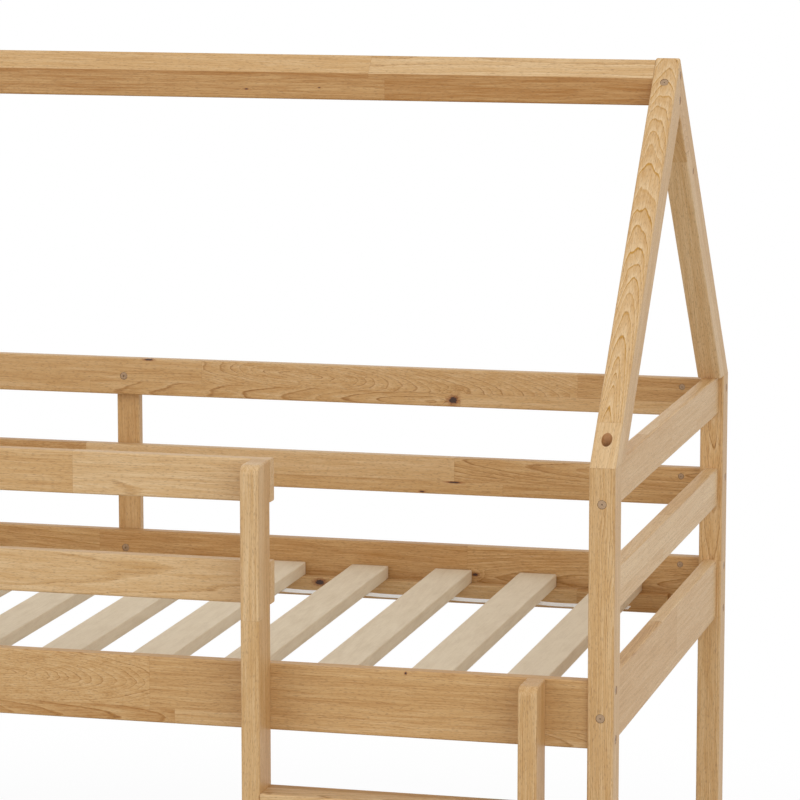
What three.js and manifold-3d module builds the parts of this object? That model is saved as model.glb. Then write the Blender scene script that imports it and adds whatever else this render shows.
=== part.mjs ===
// A house-frame bunk bed of oiled oak boards. Four posts carry two bunks, a fixed ladder stands at
// the front, and two gables of mitred rafters with a ridge beam between them make the open roof.
// Millimetres, +Z up, +X along the bed to the ladder end, +Y to the wall side.
// The origin is on the floor, under the middle of the whole outline.

import * as THREE from "three";
import { mergeVertices } from "three/addons/utils/BufferGeometryUtils.js";
import Module from "manifold-3d";

const wasm = await Module();
wasm.setup();

// Mattress, and the play left round it
const mattressLength = 2000;
const mattressWidth = 900;
const mattressEndPlay = 13;
const mattressSidePlay = 10;

// Posts
const postWidth = 38;
const postDepth = 48;
const postHeight = 1600;

// Boards that join the posts
const boardThickness = 22;
const boardRecess = 8;
const guardHeight = 63;
const railHeight = 99;
const sideTopDrop = 9;
const sidePitch = 150;
const endPitch = 154;
const lowerRailTop = 330;
const edgeRound = 3;

// Roof
const gableRise = 547;
const rafterThickness = 58;
const ridgeWidth = 48;
const ridgeHeight = 68;
const ridgeDrop = 2.5;

// Rear upright, which ties the rear boards together at mid-length
const uprightWidth = 40;
const uprightThickness = 20;
const uprightEndInset = 10;

// Ladder
const stileWidth = 28;
const stileDepth = 60;
const stileTopRound = 14;
const ladderClearWidth = 380;
const ladderFromPost = 62;
const rungThickness = 28;
const topRungGap = 81;
const lowestRungRise = 31;
const rungCount = 4;

// Slat bases and the ledgers that they lie on
const slatCount = 13;
const slatWidth = 64;
const slatThickness = 22;
const slatRowInset = 46.6;
const slatEndPlay = 3;
const slatEdgeRound = 2.5;
const ledgerHeight = 31;
const ledgerThickness = 20;
const ledgerEndGap = 51;
const ledgerLift = 6;
const strapWidth = 24;
const strapThickness = 1.2;
const strapInset = 132;
const strapTail = 4;

// Bolts, barrel nuts and glued dowels
const boltHole = 7;
const headHole = 13;
const headSink = 3.5;
const nutHole = 10;
const nutInset = 34;
const nutSink = 17;
const boreBeyondNut = 12;
const guardBoltDrop = 14.5;
const guardDowelLift = 16.5;
const railBoltInset = 13.5;
const endBoltDrop = 53;
const endDowelSpread = 10;
const railDowelInset = 15;
const dowelDiameter = 8;
const dowelReach = 10;
const dowelFit = 0.3;
const rungDowelSpread = 15;
const stileBoltInset = 22;
const stileBoltSpacing = 24;
const stileBoreDepth = 25;
const uprightBoltDrop = 31;

// Rafter bolts, which stand upright in the toes of the rafters, and the bolts at the apex
const rafterBoltSetback = 32;
const rafterBoltSeat = 12;
const rafterHeadHole = 15;
const rafterNutDrop = 52;
const rafterNutHole = 12;
const rafterNutSink = 42;
const rafterBoreDepth = 70;
const rafterBoltDiameter = 6;
const rafterBoltHead = 11.5;
const rafterBoltHeadHeight = 6;
const rafterBoltTail = 64;
const rafterSocket = 5;
const rafterSocketDepth = 3;
const boltSeatGap = 0.3;
const apexBoltDrop = 35;
const apexHeadWall = 14;
const ridgeBoltDrops = [26, 64];
const ridgeBoltDepth = 45;

// Facets of round work, fewer where a bore or a dowel is hidden, and the overrun of every cutter
const openSides = 8;
const hiddenSides = 6;
const edgeSteps = 1;
const topRoundSteps = 3;
const overrun = 5;

// Sizes worked out from the ones above
const frameLength = mattressLength + 2 * (mattressEndPlay + boardThickness + boardRecess);
const frameDepth = mattressWidth + 2 * (mattressSidePlay + boardThickness + boardRecess);
const innerLength = frameLength - 2 * postWidth;
const innerDepth = frameDepth - 2 * postDepth;
const postX = (frameLength - postWidth) / 2;
const postY = (frameDepth - postDepth) / 2;
const sideBoardY = frameDepth / 2 - boardRecess - boardThickness / 2;
const endBoardX = frameLength / 2 - boardRecess - boardThickness / 2;
const guardTop = postHeight - sideTopDrop;
const guardMiddleTop = guardTop - sidePitch;
const upperRailTop = guardMiddleTop - sidePitch;
const endRailTop = postHeight - 2 * endPitch;
const lowerEndRailTop = lowerRailTop + endRailTop - upperRailTop;
const slope = Math.atan2(gableRise, frameDepth / 2);
const slatLength = mattressWidth + 2 * (mattressSidePlay - slatEndPlay);
const ledgerLength = innerLength - 2 * ledgerEndGap;
const slatPitch = (ledgerLength - 2 * slatRowInset - slatWidth) / (slatCount - 1);
const topRungTop = upperRailTop - railHeight - topRungGap;
const lowestRungTop = lowerRailTop + lowestRungRise;
const rungPitch = (topRungTop - lowestRungTop) / (rungCount - 1);
const ladderRight = innerLength / 2 - ladderFromPost;
const ladderLeft = ladderRight - ladderClearWidth - 2 * stileWidth;
const ladderProud = stileDepth - boardRecess;
const uprightProud = uprightThickness - boardRecess;
const stileY = -frameDepth / 2 + boardRecess - stileDepth / 2;

// Finishes
const oiledOak = new THREE.MeshStandardMaterial({ color: "#c69c66", roughness: 0.5, metalness: 0 });
const paleSlat = new THREE.MeshStandardMaterial({ color: "#d3bf9c", roughness: 0.7, metalness: 0 });
const webbing = new THREE.MeshStandardMaterial({ color: "#f0eeea", roughness: 0.9, metalness: 0 });
const zincSteel = new THREE.MeshStandardMaterial({ color: "#9c9290", roughness: 0.4, metalness: 0.8 });

// The name of a place, from the side of the middle that it is on
const endName = (end) => (end > 0 ? "right" : "left");
const sideName = (side) => (side > 0 ? "rear" : "front");

// A geometry as a solid that can be cut and joined
function toSolid(geometry) {
  const bare = geometry.clone();
  bare.deleteAttribute("normal");
  bare.deleteAttribute("uv");
  const merged = mergeVertices(bare);
  const vertProperties = new Float32Array(merged.attributes.position.array);
  const triVerts = new Uint32Array(merged.index.array);
  return new wasm.Manifold(new wasm.Mesh({ numProp: 3, vertProperties, triVerts }));
}

// A solid as a flat-shaded geometry
function toGeometry(solid) {
  const { vertProperties, triVerts } = solid.getMesh();
  const shared = new THREE.BufferGeometry();
  shared.setAttribute("position", new THREE.BufferAttribute(vertProperties, 3));
  shared.setIndex(new THREE.BufferAttribute(triVerts, 1));
  const geometry = shared.toNonIndexed();
  geometry.computeVertexNormals();
  return geometry;
}

// A rectangle with rounded corners, centred on the origin
function roundedRectangle(width, height, radius) {
  const right = width / 2;
  const top = height / 2;
  const outline = new THREE.Shape();
  outline.absarc(right - radius, top - radius, radius, 0, Math.PI / 2);
  outline.absarc(radius - right, top - radius, radius, Math.PI / 2, Math.PI);
  outline.absarc(radius - right, radius - top, radius, Math.PI, 1.5 * Math.PI);
  outline.absarc(right - radius, radius - top, radius, 1.5 * Math.PI, 2 * Math.PI);
  outline.closePath();
  return outline;
}

// An outline drawn out to a length, centred along that length
function drawnOut(outline, length, steps = edgeSteps) {
  const settings = { depth: length, bevelEnabled: false, curveSegments: steps };
  return new THREE.ExtrudeGeometry(outline, settings).translate(0, 0, -length / 2);
}

// A planed board along one axis, its four long edges rounded, centred on the origin
function planedBoard(size, along, radius = edgeRound) {
  const [x, y, z] = size;
  if (along === "x") return drawnOut(roundedRectangle(z, y, radius), x).rotateY(Math.PI / 2);
  if (along === "y") return drawnOut(roundedRectangle(x, z, radius), y).rotateX(-Math.PI / 2);
  return drawnOut(roundedRectangle(x, y, radius), z);
}

// A round bar along one axis between two places, on the line through a point
function roundBar({ along, at, from, to, diameter }) {
  const length = Math.abs(to - from);
  const sides = diameter < nutHole ? hiddenSides : openSides;
  const bar = new THREE.CylinderGeometry(diameter / 2, diameter / 2, length, sides);
  if (along === "x") bar.rotateZ(Math.PI / 2);
  if (along === "z") bar.rotateX(Math.PI / 2);
  const middle = (from + to) / 2;
  const place = { x: at[0], y: at[1], z: at[2], [along]: middle };
  return bar.translate(place.x, place.y, place.z);
}

// A board with round pins joined to it and round holes cut in it
function worked(geometry, holes, pins = []) {
  let solid = toSolid(geometry);
  for (const pin of pins) solid = solid.add(toSolid(roundBar(pin)));
  for (const hole of holes) solid = solid.subtract(toSolid(roundBar(hole)));
  return toGeometry(solid);
}

// A named piece at its place
function piece(name, geometry, material, x, y, z) {
  const mesh = new THREE.Mesh(geometry, material);
  mesh.name = name;
  mesh.position.set(x, y, z);
  return mesh;
}

// The bolt heights of a side board of the given kind, as drops from its top edge
function boltDrops(height) {
  return height === guardHeight ? [guardBoltDrop] : [railBoltInset, railHeight - railBoltInset];
}

// The dowel heights of an end board of the given kind, as drops from its top edge
function endDowelDrops(height) {
  const middle = height / 2;
  if (height === guardHeight) return [middle - endDowelSpread, middle + endDowelSpread];
  return [railDowelInset, height - railDowelInset];
}

// The side boards, from the top down, with the ends that meet a post
const sideBoards = [
  { name: "guard_rail_top_rear", side: 1, top: guardTop, height: guardHeight, ends: [-1, 1] },
  { name: "guard_rail_middle_rear", side: 1, top: guardMiddleTop, height: guardHeight, ends: [-1, 1] },
  { name: "upper_side_rail_rear", side: 1, top: upperRailTop, height: railHeight, ends: [-1, 1] },
  { name: "lower_side_rail_rear", side: 1, top: lowerRailTop, height: railHeight, ends: [-1, 1] },
  { name: "guard_rail_top_front", side: -1, top: guardTop, height: guardHeight, ends: [-1] },
  { name: "guard_rail_middle_front", side: -1, top: guardMiddleTop, height: guardHeight, ends: [-1] },
  { name: "upper_side_rail_front", side: -1, top: upperRailTop, height: railHeight, ends: [-1, 1] },
  { name: "lower_side_rail_front", side: -1, top: lowerRailTop, height: railHeight, ends: [-1, 1] },
];

// The boards of one end, from the top down
const endBoards = [
  { name: "end_rail_top", top: postHeight, height: guardHeight },
  { name: "end_rail_middle", top: postHeight - endPitch, height: guardHeight },
  { name: "end_rail_low", top: endRailTop, height: railHeight },
  { name: "lower_end_rail_top", top: lowerEndRailTop + endPitch, height: guardHeight },
  { name: "lower_end_rail_low", top: lowerEndRailTop, height: railHeight },
];

// The holes of one post for the side boards that meet it: bolts from its outer face, and dowels
function sideHoles(end, side) {
  const y = side * (sideBoardY - postY);
  const outer = end * (postWidth / 2);
  const holes = [];
  for (const board of sideBoards.filter((one) => one.side === side && one.ends.includes(end))) {
    const topZ = board.top - postHeight / 2;
    for (const drop of boltDrops(board.height)) {
      const at = [0, y, topZ - drop];
      const past = end * overrun;
      holes.push({ along: "x", at, from: outer + past, to: -outer - past, diameter: boltHole });
      holes.push({ along: "x", at, from: outer + past, to: outer - end * headSink, diameter: headHole });
    }
    if (board.height === guardHeight) {
      const at = [0, y, topZ - guardHeight + guardDowelLift];
      const bottom = -outer + end * (dowelReach + dowelFit);
      const diameter = dowelDiameter + 2 * dowelFit;
      holes.push({ along: "x", at, from: -outer - end * overrun, to: bottom, diameter });
    }
  }
  return holes;
}

// The holes of one post for the boards of its end: dowels, and a bolt for each deep rail
function endHoles(end, side) {
  const x = end * (endBoardX - postX);
  const outer = side * (postDepth / 2);
  const holes = [];
  for (const board of endBoards) {
    const topZ = board.top - postHeight / 2;
    for (const drop of endDowelDrops(board.height)) {
      const at = [x, 0, topZ - drop];
      const bottom = -outer + side * (dowelReach + dowelFit);
      const diameter = dowelDiameter + 2 * dowelFit;
      holes.push({ along: "y", at, from: -outer - side * overrun, to: bottom, diameter });
    }
    if (board.height === railHeight) {
      const at = [x, 0, topZ - endBoltDrop];
      const past = side * overrun;
      holes.push({ along: "y", at, from: outer + past, to: -outer - past, diameter: boltHole });
      holes.push({ along: "y", at, from: outer + past, to: outer - side * headSink, diameter: headHole });
    }
  }
  return holes;
}

// The upright bore of a rafter bolt in the top of a post, and the cross hole of its barrel nut
function rafterBoltHoles(side) {
  const outer = side * (postDepth / 2);
  const top = postHeight / 2;
  const y = outer - side * rafterBoltSetback;
  const nutAt = [0, 0, top - rafterNutDrop];
  const nutEnd = outer - side * rafterNutSink;
  return [
    { along: "z", at: [0, y, 0], from: top + overrun, to: top - rafterBoreDepth, diameter: boltHole },
    { along: "y", at: nutAt, from: outer + side * overrun, to: nutEnd, diameter: rafterNutHole },
  ];
}

// A post, bored for every board that meets it
function post(end, side) {
  const blank = planedBoard([postWidth, postDepth, postHeight], "z");
  const holes = [...sideHoles(end, side), ...endHoles(end, side), ...rafterBoltHoles(side)];
  const name = `post_${sideName(side)}_${endName(end)}`;
  return piece(name, worked(blank, holes), oiledOak, end * postX, side * postY, postHeight / 2);
}

// The bores of one end of a board for a bolt and its barrel nut, which shows on the inner face
function barrelNutHoles(along, end, reach, across, drops, top, face) {
  const tip = end * reach;
  const bottom = tip - end * (nutInset + boreBeyondNut);
  const nutPlace = tip - end * nutInset;
  const holes = [];
  for (const drop of drops) {
    const z = top - drop;
    const nutAt = along === "x" ? [nutPlace, 0, z] : [0, nutPlace, z];
    const into = face * (boardThickness / 2);
    const nutEnd = into - face * nutSink;
    holes.push({ along, at: [0, 0, z], from: tip + end * overrun, to: bottom, diameter: boltHole });
    holes.push({ along: across, at: nutAt, from: into + face * overrun, to: nutEnd, diameter: nutHole });
  }
  return holes;
}

// The holes that hold the rear upright: bolt heads sunk in the inner faces of the rear boards
function uprightHoles(top) {
  const inner = -boardThickness / 2;
  const at = [0, 0, top - uprightBoltDrop];
  return [
    { along: "y", at, from: inner - overrun, to: -inner + overrun, diameter: boltHole },
    { along: "y", at, from: inner - overrun, to: inner + headSink, diameter: headHole },
  ];
}

// The drops of the bolts that hold a ladder stile to a front board
function stileBoltDrops(height) {
  if (height === guardHeight) return [guardHeight / 2];
  return [stileBoltInset, stileBoltInset + stileBoltSpacing];
}

// The holes of a front board for the bolts that hold the ladder stiles, sunk from the inside
function stileHoles(places, height, top) {
  const inner = boardThickness / 2;
  const holes = [];
  for (const x of places) {
    for (const drop of stileBoltDrops(height)) {
      const at = [x, 0, top - drop];
      holes.push({ along: "y", at, from: inner + overrun, to: -inner - overrun, diameter: boltHole });
      holes.push({ along: "y", at, from: inner + overrun, to: inner - headSink, diameter: headHole });
    }
  }
  return holes;
}

// A board along one side: bolted to the posts, and a guard board of the front ends at the ladder
function sideBoard({ name, side, top, height, ends }) {
  const right = ends.includes(1) ? innerLength / 2 : ladderLeft + stileWidth;
  const length = right + innerLength / 2;
  const centreX = right - length / 2;
  const half = height / 2;
  const blank = planedBoard([length, boardThickness, height], "x");
  const holes = ends.flatMap((end) =>
    barrelNutHoles("x", end, length / 2, "y", boltDrops(height), half, -side),
  );
  const pins = [];
  if (height === guardHeight) {
    for (const end of ends) {
      const at = [0, 0, guardDowelLift - half];
      const tip = end * (length / 2);
      const diameter = dowelDiameter;
      pins.push({ along: "x", at, from: tip - end * dowelReach, to: tip + end * dowelReach, diameter });
    }
  }
  if (side > 0 && top >= upperRailTop) holes.push(...uprightHoles(half));
  if (side < 0 && top >= upperRailTop) {
    const left = ladderLeft + stileWidth / 2 - centreX;
    const rightStile = ladderRight - stileWidth / 2 - centreX;
    const places = height === guardHeight ? [left] : [left, rightStile];
    holes.push(...stileHoles(places, height, half));
  }
  return piece(name, worked(blank, holes, pins), oiledOak, centreX, side * sideBoardY, top - half);
}

// A board across one end, dowelled to the posts, and bolted too where it is a deep rail
function endBoard(end, { name, top, height }) {
  const half = height / 2;
  const blank = planedBoard([boardThickness, innerDepth, height], "y");
  const holes = [];
  const pins = [];
  for (const side of [-1, 1]) {
    const tip = side * (innerDepth / 2);
    for (const drop of endDowelDrops(height)) {
      const at = [0, 0, half - drop];
      const diameter = dowelDiameter;
      pins.push({ along: "y", at, from: tip - side * dowelReach, to: tip + side * dowelReach, diameter });
    }
    if (height === railHeight) {
      holes.push(...barrelNutHoles("y", side, innerDepth / 2, "x", [endBoltDrop], half, -end));
    }
  }
  const geometry = worked(blank, holes, pins);
  return piece(`${name}_${endName(end)}`, geometry, oiledOak, end * endBoardX, 0, top - half);
}

// The rear upright, behind the boards of the upper bunk
function rearUpright() {
  const bottom = upperRailTop - railHeight + uprightEndInset;
  const height = guardTop - uprightEndInset - bottom;
  const middle = bottom + height / 2;
  const y = frameDepth / 2 - boardRecess + uprightThickness / 2;
  const blank = planedBoard([uprightWidth, uprightThickness, height], "z");
  const face = uprightThickness / 2;
  const holes = [guardTop, guardMiddleTop, upperRailTop].map((top) => ({
    along: "y",
    at: [0, 0, top - uprightBoltDrop - middle],
    from: -face - overrun,
    to: face - headSink,
    diameter: boltHole,
  }));
  return piece("rear_upright", worked(blank, holes), oiledOak, 0, y, middle);
}

// The side view of a rafter, with its toe at the outer face of the post and its mitre on the middle
function rafterOutline() {
  const rise = rafterThickness / Math.cos(slope);
  const run = rafterThickness / Math.sin(slope);
  const outline = new THREE.Shape();
  outline.moveTo(-frameDepth / 2, 0);
  outline.lineTo(run - frameDepth / 2, 0);
  outline.lineTo(0, gableRise - rise);
  outline.lineTo(0, gableRise);
  outline.closePath();
  return outline;
}

// The bores of a rafter, front one: its toe bolt, the apex bolt and the two ridge bolts
function rafterHoles(end) {
  const outer = end * (postWidth / 2);
  const toeY = rafterBoltSetback - frameDepth / 2;
  const toeTop = rafterBoltSetback * Math.tan(slope) + rafterHeadHole;
  const apexZ = gableRise - apexBoltDrop;
  const holes = [
    { along: "z", at: [0, toeY, 0], from: -overrun, to: toeTop, diameter: boltHole },
    { along: "z", at: [0, toeY, 0], from: rafterBoltSeat, to: toeTop, diameter: rafterHeadHole },
    { along: "y", at: [0, 0, apexZ], from: -ridgeWidth, to: overrun, diameter: boltHole },
    { along: "y", at: [0, 0, apexZ], from: -ridgeWidth, to: -apexHeadWall, diameter: headHole },
  ];
  for (const drop of ridgeBoltDrops) {
    const at = [0, 0, gableRise - drop];
    const past = end * overrun;
    holes.push({ along: "x", at, from: -outer - past, to: outer + past, diameter: boltHole });
    holes.push({ along: "x", at, from: outer - end * headSink, to: outer + past, diameter: headHole });
  }
  return holes;
}

// A rafter: a planed bar laid on the slope, cut level on the post and mitred at the apex
function rafter(end, side) {
  const length = 2 * Math.hypot(gableRise, frameDepth / 2);
  const bar = planedBoard([postWidth, length, rafterThickness], "y");
  bar.translate(0, 0, -rafterThickness / 2).rotateX(slope);
  bar.translate(0, 0, gableRise);
  const limits = drawnOut(rafterOutline(), postWidth);
  limits.rotateX(Math.PI / 2).rotateZ(Math.PI / 2);
  let solid = toSolid(bar).intersect(toSolid(limits));
  for (const hole of rafterHoles(side > 0 ? -end : end)) {
    solid = solid.subtract(toSolid(roundBar(hole)));
  }
  const geometry = toGeometry(solid);
  if (side > 0) geometry.rotateZ(Math.PI);
  const name = `rafter_${sideName(side)}_${endName(end)}`;
  return piece(name, geometry, oiledOak, end * postX, 0, postHeight);
}

// A cap screw that stands in the toe of a rafter and reaches its nut in the post
function rafterBolt(end, side) {
  const headR = rafterBoltHead / 2;
  const shankR = rafterBoltDiameter / 2;
  const seat = rafterBoltSeat + boltSeatGap;
  const headTop = seat + rafterBoltHeadHeight;
  const profile = [
    [0, -rafterBoltTail],
    [shankR, -rafterBoltTail],
    [shankR, seat],
    [headR, seat],
    [headR, headTop],
    [rafterSocket / 2, headTop],
    [rafterSocket / 2, headTop - rafterSocketDepth],
    [0, headTop - rafterSocketDepth],
  ].map(([radius, z]) => new THREE.Vector2(radius, z));
  const geometry = new THREE.LatheGeometry(profile, openSides).rotateX(Math.PI / 2);
  const y = side * (frameDepth / 2 - rafterBoltSetback);
  const name = `rafter_bolt_${sideName(side)}_${endName(end)}`;
  return piece(name, geometry, zincSteel, end * postX, y, postHeight);
}

// The ridge beam, its top cut to the slope of the rafters, butted between the gables
function ridgeBeam() {
  const half = ridgeWidth / 2;
  const shoulder = half * Math.tan(slope);
  const outline = new THREE.Shape();
  outline.moveTo(0, 0);
  outline.lineTo(-half, -shoulder);
  outline.lineTo(-half, edgeRound - ridgeHeight);
  outline.absarc(edgeRound - half, edgeRound - ridgeHeight, edgeRound, Math.PI, 1.5 * Math.PI);
  outline.absarc(half - edgeRound, edgeRound - ridgeHeight, edgeRound, 1.5 * Math.PI, 2 * Math.PI);
  outline.lineTo(half, -shoulder);
  outline.closePath();
  const beam = drawnOut(outline, innerLength).rotateX(Math.PI / 2).rotateZ(Math.PI / 2);
  const holes = [-1, 1].flatMap((end) =>
    ridgeBoltDrops.map((drop) => ({
      along: "x",
      at: [0, 0, ridgeDrop - drop],
      from: end * (innerLength / 2 + overrun),
      to: end * (innerLength / 2 - ridgeBoltDepth),
      diameter: boltHole,
    })),
  );
  return piece("ridge_beam", worked(beam, holes), oiledOak, 0, 0, postHeight + gableRise - ridgeDrop);
}

// The heights of the tops of the rungs, from the top down
const rungTops = Array.from({ length: rungCount }, (_, n) => topRungTop - n * rungPitch);

// A ladder stile seen from the side, its top front corner rounded
function stileOutline(height) {
  const half = stileDepth / 2;
  const outline = new THREE.Shape();
  outline.moveTo(-half, 0);
  outline.lineTo(half, 0);
  outline.lineTo(half, height);
  outline.lineTo(stileTopRound - half, height);
  outline.absarc(stileTopRound - half, height - stileTopRound, stileTopRound, Math.PI / 2, Math.PI);
  outline.closePath();
  return outline;
}

// A ladder stile, bored for the rungs and for the bolts that hold it to the front boards
function ladderStile(end) {
  const height = end > 0 ? upperRailTop : guardTop;
  const bar = planedBoard([stileWidth, stileDepth, 2 * height], "z");
  const limits = drawnOut(stileOutline(height), stileWidth, topRoundSteps);
  limits.rotateX(Math.PI / 2).rotateZ(Math.PI / 2);
  let solid = toSolid(bar).intersect(toSolid(limits));
  const outer = end * (stileWidth / 2);
  const inner = -outer;
  const holes = [];
  for (const top of rungTops) {
    const z = top - rungThickness / 2;
    const past = end * overrun;
    const bottom = inner + end * (dowelReach + dowelFit);
    holes.push({ along: "x", at: [0, 0, z], from: inner - past, to: outer + past, diameter: boltHole });
    holes.push({
      along: "x", at: [0, 0, z], from: outer - end * headSink, to: outer + past, diameter: headHole,
    });
    for (const y of [-rungDowelSpread, rungDowelSpread]) {
      const diameter = dowelDiameter + 2 * dowelFit;
      holes.push({ along: "x", at: [0, y, z], from: inner - past, to: bottom, diameter });
    }
  }
  const boards = sideBoards.filter((board) => board.side < 0 && board.top >= upperRailTop);
  for (const board of boards.filter((one) => end < 0 || one.height === railHeight)) {
    for (const drop of stileBoltDrops(board.height)) {
      const at = [0, 0, board.top - drop];
      const back = stileDepth / 2;
      const to = back - stileBoreDepth;
      holes.push({ along: "y", at, from: back + overrun, to, diameter: boltHole });
    }
  }
  for (const hole of holes) solid = solid.subtract(toSolid(roundBar(hole)));
  const x = end > 0 ? ladderRight - stileWidth / 2 : ladderLeft + stileWidth / 2;
  return piece(`ladder_stile_${endName(end)}`, toGeometry(solid), oiledOak, x, stileY, 0);
}

// A flat rung between the stiles, with its dowels and the bores for its bolts
function ladderRung(number, top) {
  const blank = planedBoard([ladderClearWidth, stileDepth, rungThickness], "x");
  const holes = [];
  const pins = [];
  for (const end of [-1, 1]) {
    const tip = end * (ladderClearWidth / 2);
    const bottom = tip - end * (nutInset + boreBeyondNut);
    holes.push({ along: "x", at: [0, 0, 0], from: tip + end * overrun, to: bottom, diameter: boltHole });
    for (const y of [-rungDowelSpread, rungDowelSpread]) {
      const at = [0, y, 0];
      const diameter = dowelDiameter;
      pins.push({ along: "x", at, from: tip - end * dowelReach, to: tip + end * dowelReach, diameter });
    }
  }
  const x = (ladderRight + ladderLeft) / 2;
  const z = top - rungThickness / 2;
  return piece(`ladder_rung_${number}`, worked(blank, holes, pins), oiledOak, x, stileY, z);
}

// The ledger inside a side rail, which the slats lie on
function ledger(bunk, side, railTop) {
  const geometry = planedBoard([ledgerLength, ledgerThickness, ledgerHeight], "x");
  const y = side * (sideBoardY - boardThickness / 2 - ledgerThickness / 2);
  const z = railTop - railHeight + ledgerLift + ledgerHeight / 2;
  return piece(`${bunk}_ledger_${sideName(side)}`, geometry, oiledOak, 0, y, z);
}

// The heights of the slats' underside over the floor
const slatUnderside = (railTop) => railTop - railHeight + ledgerLift + ledgerHeight;
const slatX = (number) => (number - (slatCount - 1) / 2) * slatPitch;
const strapLength = (slatCount - 1) * slatPitch + slatWidth + 2 * strapTail;
const strapY = slatLength / 2 - strapInset;

const slatGeometry = () => planedBoard([slatWidth, slatLength, slatThickness], "y", slatEdgeRound);

// One slat of the upper bunk
function slat(number) {
  const name = `upper_slat_${String(number + 1).padStart(2, "0")}`;
  const z = slatUnderside(upperRailTop) + slatThickness / 2;
  return piece(name, slatGeometry(), paleSlat, slatX(number), 0, z);
}

// A flat webbing strap fixed under the slats of the upper bunk
function strap(side) {
  const geometry = new THREE.BoxGeometry(strapLength, strapWidth, strapThickness);
  const z = slatUnderside(upperRailTop) - strapThickness / 2;
  return piece(`upper_slat_strap_${sideName(side)}`, geometry, webbing, 0, side * strapY, z);
}

// The slats of the lower bunk with their straps, as the roll in which they are laid in
function lowerSlatRoll() {
  const sunk = strapThickness / 2;
  let solid;
  for (const side of [-1, 1]) {
    const band = new THREE.BoxGeometry(strapLength, strapWidth, strapThickness + sunk);
    band.translate(0, side * strapY, sunk / 2 - strapThickness / 2);
    solid = solid ? solid.add(toSolid(band)) : toSolid(band);
  }
  for (let number = 0; number < slatCount; number += 1) {
    const one = slatGeometry().translate(slatX(number), 0, slatThickness / 2);
    solid = solid.add(toSolid(one));
  }
  return piece("lower_slat_roll", toGeometry(solid), paleSlat, 0, 0, slatUnderside(lowerRailTop));
}

// Everything with one end and one side: posts, rafters and the bolts between them
function corner(end, side) {
  const group = new THREE.Group();
  group.add(post(end, side), rafter(end, side), rafterBolt(end, side));
  return group;
}

// The bed, moved so that the middle of its whole outline is over the origin
const bed = new THREE.Group();
bed.position.y = (ladderProud - uprightProud) / 2;
for (const end of [-1, 1]) {
  for (const side of [-1, 1]) bed.add(corner(end, side));
  for (const board of endBoards) bed.add(endBoard(end, board));
  bed.add(ladderStile(end));
}
bed.add(ridgeBeam(), rearUpright());
for (const board of sideBoards) bed.add(sideBoard(board));
for (const side of [-1, 1]) {
  bed.add(ledger("upper", side, upperRailTop), ledger("lower", side, lowerRailTop), strap(side));
}
rungTops.forEach((top, n) => bed.add(ladderRung(n + 1, top)));
for (let number = 0; number < slatCount; number += 1) bed.add(slat(number));
bed.add(lowerSlatRoll());

export default bed;
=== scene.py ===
"""A bunk bed of oiled oak with an open house roof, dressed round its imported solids."""

import math
import random
from collections import defaultdict, namedtuple
from functools import partial
from itertools import product

import bmesh
import bpy
from mathutils import Matrix, Vector


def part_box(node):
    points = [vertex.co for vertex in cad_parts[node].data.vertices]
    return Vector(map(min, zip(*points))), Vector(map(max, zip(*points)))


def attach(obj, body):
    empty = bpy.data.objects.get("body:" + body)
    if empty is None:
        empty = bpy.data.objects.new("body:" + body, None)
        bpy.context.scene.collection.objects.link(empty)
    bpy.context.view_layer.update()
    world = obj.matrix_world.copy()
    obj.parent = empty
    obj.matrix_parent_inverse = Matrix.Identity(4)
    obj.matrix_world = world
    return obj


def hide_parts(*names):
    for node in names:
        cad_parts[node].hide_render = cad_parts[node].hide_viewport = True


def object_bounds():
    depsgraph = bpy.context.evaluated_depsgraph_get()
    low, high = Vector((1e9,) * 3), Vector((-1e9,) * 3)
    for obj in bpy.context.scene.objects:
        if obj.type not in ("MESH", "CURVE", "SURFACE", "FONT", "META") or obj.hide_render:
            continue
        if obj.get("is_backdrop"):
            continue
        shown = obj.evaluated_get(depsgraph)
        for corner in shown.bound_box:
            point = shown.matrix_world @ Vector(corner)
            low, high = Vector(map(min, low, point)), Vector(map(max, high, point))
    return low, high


bl_info = {
    "name": "House Bunk Bed",
    "version": (1, 0, 0),
    "blender": (4, 5, 0),
    "location": "View3D > Sidebar > Bunk Bed",
    "description": "Builds an oak bunk bed with a house roof, piece by piece",
    "category": "Add Mesh",
}

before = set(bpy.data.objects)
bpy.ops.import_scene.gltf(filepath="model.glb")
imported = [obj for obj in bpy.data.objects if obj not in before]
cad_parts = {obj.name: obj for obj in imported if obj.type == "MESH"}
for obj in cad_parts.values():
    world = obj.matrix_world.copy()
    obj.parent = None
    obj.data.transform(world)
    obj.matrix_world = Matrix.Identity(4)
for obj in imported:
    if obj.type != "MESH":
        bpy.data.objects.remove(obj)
CAD_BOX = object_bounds()

MM = 0.001
BODY = "root"
X, Y, Z = range(3)
SIDES = {-1: "front", 1: "rear"}
ENDS = {-1: "left", 1: "right"}
RUNGS = [f"ladder_rung_{number}" for number in range(1, 5)]

# Bolt and nut places, in millimetres from the top edge or the end of the board that they hold
GUARD_BOLT_DROP = 14.5
RAIL_BOLT_INSET = 13.5
NUT_INSET = 34
END_BOLT_DROP = 53
UPRIGHT_BOLT_DROP = 31
GUARD_STILE_DROPS = (31.5,)
RAIL_STILE_DROPS = (22, 46)
RAFTER_NUT_DROP = 52
RIDGE_BOLT_DROPS = (26, 64)
APEX_BOLT_RUN = 46.5
APEX_NUT_RUN = 218
RAFTER_THICKNESS = 58

# The open bore in a rafter's toe: how far in its bolt stands, how high over the post, and how much
# further in the slope is taken, so that the cutter comes out above it
TOE_BOLT_SETBACK = 32
TOE_BOLT_SEAT = 12
TOE_CUTTER_SPARE = 12

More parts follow.
